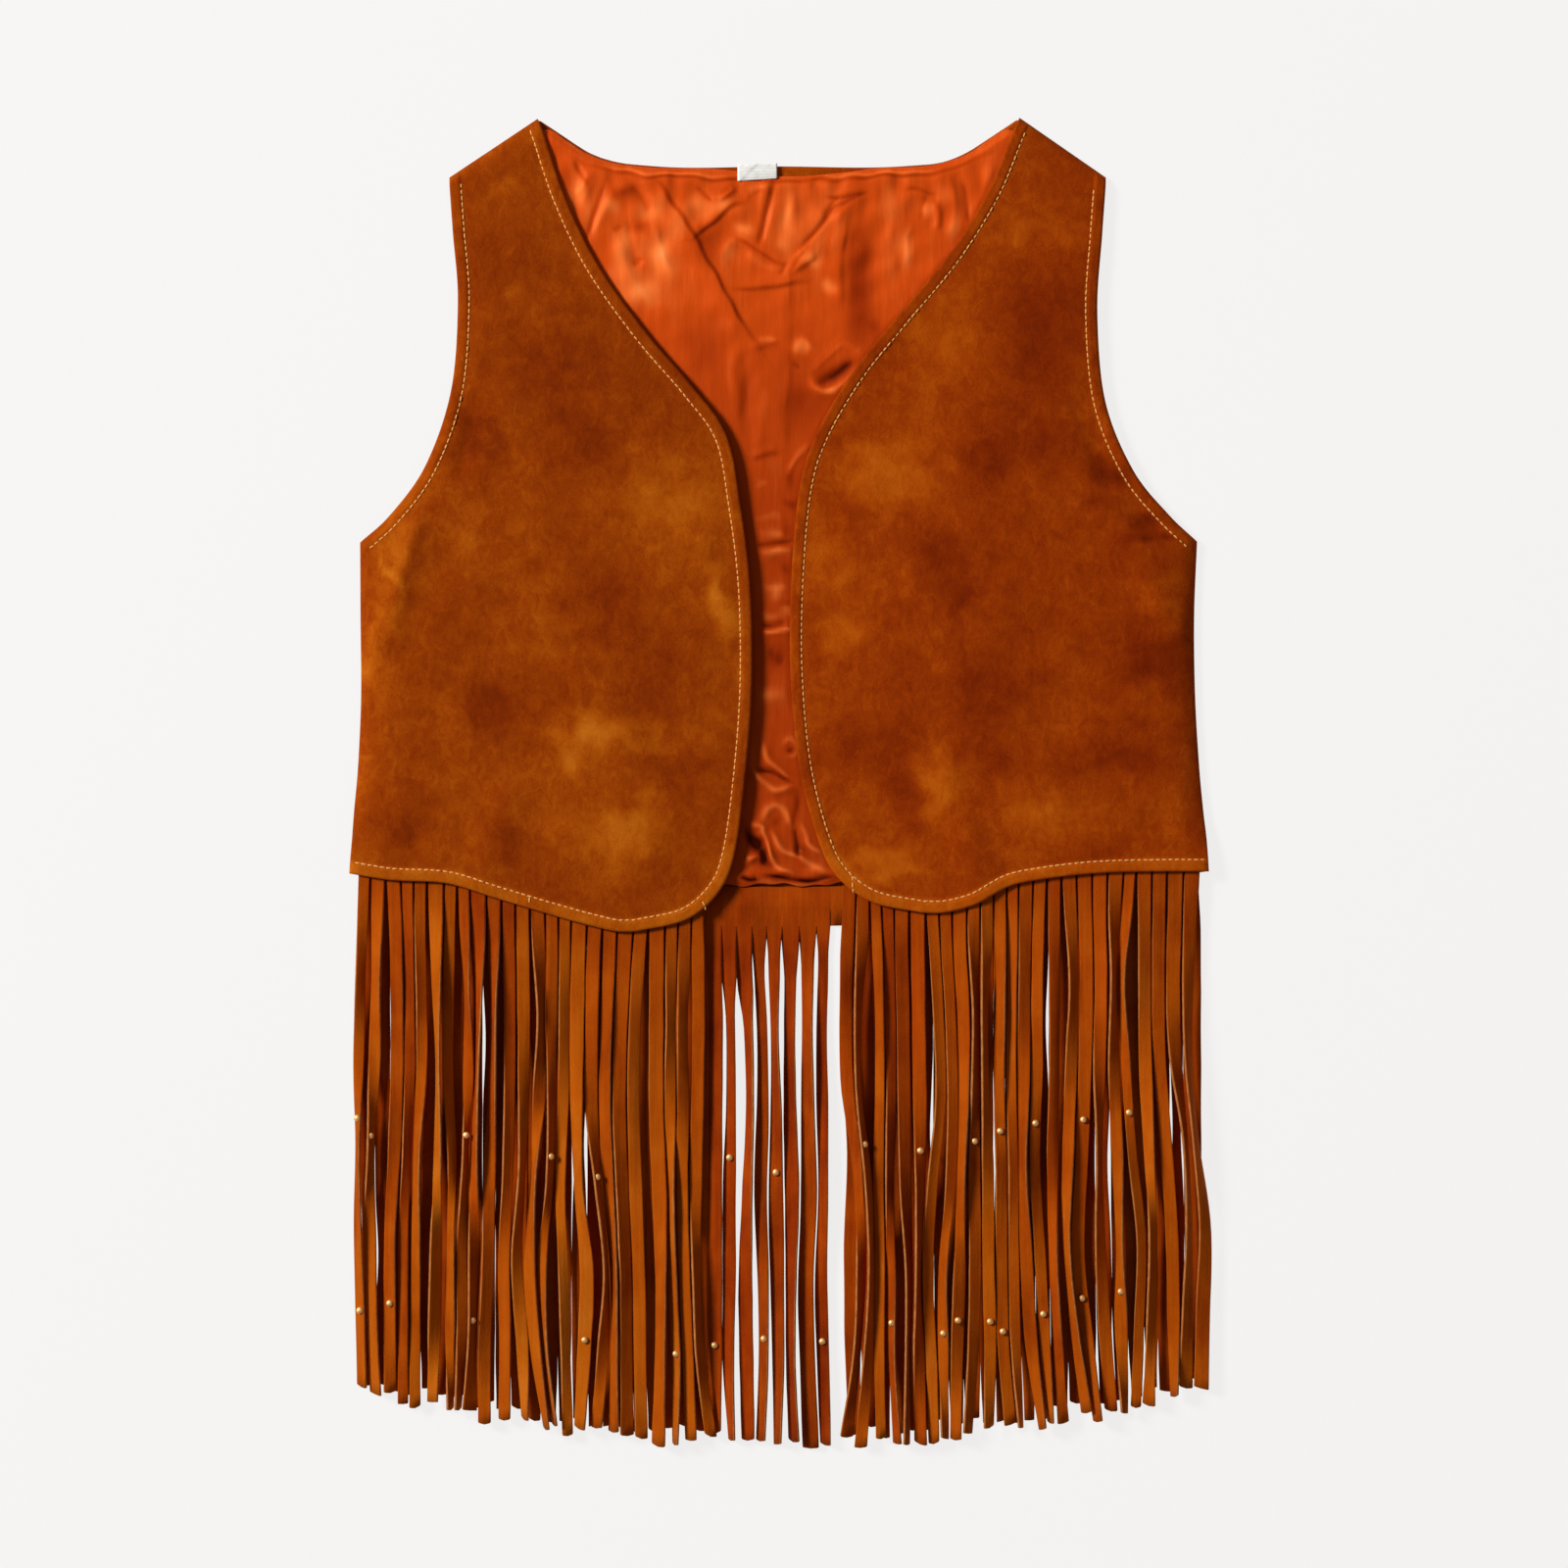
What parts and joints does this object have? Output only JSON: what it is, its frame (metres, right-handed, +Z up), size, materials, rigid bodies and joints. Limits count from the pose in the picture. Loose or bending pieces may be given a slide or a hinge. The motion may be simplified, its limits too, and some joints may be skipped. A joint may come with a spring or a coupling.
{
  "type": "fringed suede vest",
  "caption": "Open-front suede vest lying flat on its back, with rounded front corners, a satin back lining and a long cut fringe sewn inside the hem.",
  "frame": {"origin": "on the underside of the back panel, on the vest's centre line, 43 mm above the side hem, where it rests on the surface", "axes": "+X towards the wearer's left front, +Y from the hem to the shoulders, +Z up from the surface, out of the open front"},
  "size_m": [0.4386, 0.6785, 0.0131],
  "materials": {
    "suede": "rust brown suede with a short matte nap",
    "fringe_suede": "rust brown suede strands with paler cut edges",
    "lining_satin": "orange satin with a soft sheen",
    "label_tape": "blank white woven tape",
    "thread": "pale gold topstitching thread",
    "bead": "small gold beads, polished"
  },
  "bodies": {
    "root": {"back": "suede", "back_lining": "lining_satin", "right_front": "suede", "left_front": "suede", "fringe_right_front": "fringe_suede", "fringe_left_front": "fringe_suede", "fringe_back": "fringe_suede", "neck_label": "label_tape"}
  },
  "joints": []
}
